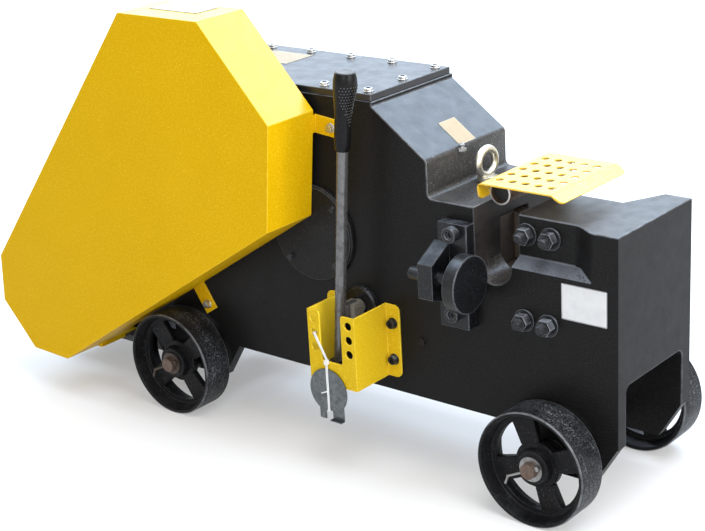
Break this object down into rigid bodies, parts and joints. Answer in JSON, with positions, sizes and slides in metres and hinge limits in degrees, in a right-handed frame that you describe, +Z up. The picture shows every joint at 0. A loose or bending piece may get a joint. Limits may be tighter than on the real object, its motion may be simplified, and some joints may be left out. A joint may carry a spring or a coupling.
{
  "type": "rebar cutting machine",
  "caption": "Wheeled rebar shear with a U-shaped cutting throat, belt and gear driven ram, hand clutch lever, bar stop and hinged cutter guard.",
  "frame": {"origin": "on the floor under the middle of the overall box", "axes": "+X along the machine to the cutting end, +Y to the back, away from the operator, +Z up"},
  "size_m": [1.2425, 0.448, 0.731],
  "materials": {
    "black_paint": "satin black paint",
    "yellow_paint": "gloss yellow paint",
    "machine_steel": "turned and oiled",
    "tool_steel": "hardened and ground",
    "zinc_steel": "zinc plated",
    "black_steel": "blackened fasteners",
    "cast_iron": "cast, machined on the working faces",
    "bronze": "bearing bronze",
    "rubber": "moulded",
    "belt_rubber": "wrapped belt",
    "motor_paint": "satin black paint",
    "wheel_paint": "painted black, rough cast",
    "tie_plastic": "nylon"
  },
  "bodies": {
    "machine": {"body": "black_paint", "top_cover": "black_paint", "cover_bolts": "zinc_steel", "belt_guard": "yellow_paint", "guard_bolts": "zinc_steel", "crank_caps": "black_paint", "shaft_caps": "black_paint", "cap_bolts": "black_steel", "crank_bushes": "bronze", "shaft_bushes": "bronze", "fixed_blade": "tool_steel", "drive_belts": "belt_rubber", "motor_frame": "motor_paint", "motor_shields": "motor_paint", "motor_stator": "machine_steel", "fan_cover": "motor_paint", "terminal_box": "motor_paint", "motor_bolts": "zinc_steel", "motor_base": "black_paint", "axles": "machine_steel", "wheel_washers": "zinc_steel", "cotter_pins": "zinc_steel", "jaw_studs": "black_steel", "jaw_nuts": "black_steel", "jaw_washers": "black_steel", "guard_hinge": "black_paint", "hinge_bolts": "black_steel", "eye_bolt": "zinc_steel", "grease_nipple": "zinc_steel", "lever_pivot": "black_paint", "trip_flange": "machine_steel", "lever_bracket": "yellow_paint", "bracket_bolts": "black_steel", "stop_bracket": "black_paint", "stop_screws": "black_steel", "spare_plate": "zinc_steel", "cable_tie": "tie_plastic"},
    "crank": {"crankshaft": "machine_steel"},
    "slider": {"slider_block": "bronze"},
    "ram": {"ram": "machine_steel", "moving_blade": "tool_steel", "blade_screw": "black_steel"},
    "clutch_gear": {"clutch_gear": "machine_steel"},
    "flywheel": {"input_shaft": "machine_steel", "flywheel": "cast_iron"},
    "idler": {"idler_shaft": "machine_steel", "idler_gear": "machine_steel"},
    "rotor": {"motor_rotor": "machine_steel", "motor_fan": "black_steel", "motor_pulley": "cast_iron"},
    "wheel_front_near": {"wheel_front_near": "wheel_paint"},
    "wheel_front_far": {"wheel_front_far": "wheel_paint"},
    "wheel_rear_near": {"wheel_rear_near": "wheel_paint"},
    "wheel_rear_far": {"wheel_rear_far": "wheel_paint"},
    "flap": {"cutter_guard": "yellow_paint"},
    "lever": {"clutch_lever": "zinc_steel", "lever_grip": "rubber"},
    "trip": {"trip_pin": "machine_steel", "link_pin": "machine_steel"},
    "stop": {"stop_spindle": "black_paint"}
  },
  "joints": [
    {"name": "crank_turn", "type": "hinge", "parent": "machine", "child": "crank", "pos_m": [0.058, 0, 0.374], "axis": [0, 1, 0], "range_deg": [0, 180]},
    {"name": "slider_turn", "type": "hinge", "parent": "crank", "child": "slider", "pos_m": [0.037, 0, 0.374], "axis": [0, 1, 0], "range_deg": [-180, 0]},
    {"name": "ram_stroke", "type": "slide", "parent": "machine", "child": "ram", "axis": [1, 0, 0], "range_m": [0, 0.042]},
    {"name": "clutch_gear_spin", "type": "hinge", "parent": "machine", "child": "clutch_gear", "pos_m": [0.058, -0.065, 0.374], "axis": [0, 1, 0], "continuous": true},
    {"name": "flywheel_spin", "type": "hinge", "parent": "machine", "child": "flywheel", "pos_m": [-0.143, -0.1545, 0.517], "axis": [0, 1, 0], "continuous": true},
    {"name": "idler_spin", "type": "hinge", "parent": "machine", "child": "idler", "pos_m": [-0.118, 0, 0.37519], "axis": [0, 1, 0], "continuous": true},
    {"name": "motor_spin", "type": "hinge", "parent": "machine", "child": "rotor", "pos_m": [-0.518, 0, 0.179], "axis": [0, 1, 0], "continuous": true},
    {"name": "front_near_roll", "type": "hinge", "parent": "machine", "child": "wheel_front_near", "pos_m": [0.506, -0.142, 0.093], "axis": [0, 1, 0], "continuous": true},
    {"name": "front_far_roll", "type": "hinge", "parent": "machine", "child": "wheel_front_far", "pos_m": [0.506, 0.167, 0.093], "axis": [0, 1, 0], "continuous": true},
    {"name": "rear_near_roll", "type": "hinge", "parent": "machine", "child": "wheel_rear_near", "pos_m": [-0.249, -0.142, 0.093], "axis": [0, 1, 0], "continuous": true},
    {"name": "rear_far_roll", "type": "hinge", "parent": "machine", "child": "wheel_rear_far", "pos_m": [-0.249, 0.167, 0.093], "axis": [0, 1, 0], "continuous": true},
    {"name": "flap_lift", "type": "hinge", "parent": "machine", "child": "flap", "pos_m": [0.394, 0, 0.48], "axis": [0, -1, 0], "range_deg": [0, 55]},
    {"name": "lever_pull", "type": "hinge", "parent": "machine", "child": "lever", "pos_m": [0.1365, -0.158, 0.17], "axis": [1, 0, 0], "range_deg": [0, 12]},
    {"name": "trip_draw", "type": "slide", "parent": "machine", "child": "trip", "axis": [0, -1, 0], "range_m": [0, 0.02037]},
    {"name": "stop_adjust", "type": "slide", "parent": "machine", "child": "stop", "axis": [1, 0, 0], "range_m": [-0.002, 0.036]}
  ],
  "couplings": [
    {"joint": "slider_turn", "follows": "crank_turn", "ratio": -1},
    {"joint": "ram_stroke", "follows": "crank_turn", "m_per_rad": 0.013369},
    {"joint": "motor_spin", "follows": "flywheel_spin", "ratio": 2.807},
    {"joint": "idler_spin", "follows": "flywheel_spin", "ratio": -0.28},
    {"joint": "clutch_gear_spin", "follows": "flywheel_spin", "ratio": 0.0784},
    {"joint": "trip_draw", "follows": "lever_pull", "m_per_rad": 0.0963}
  ]
}
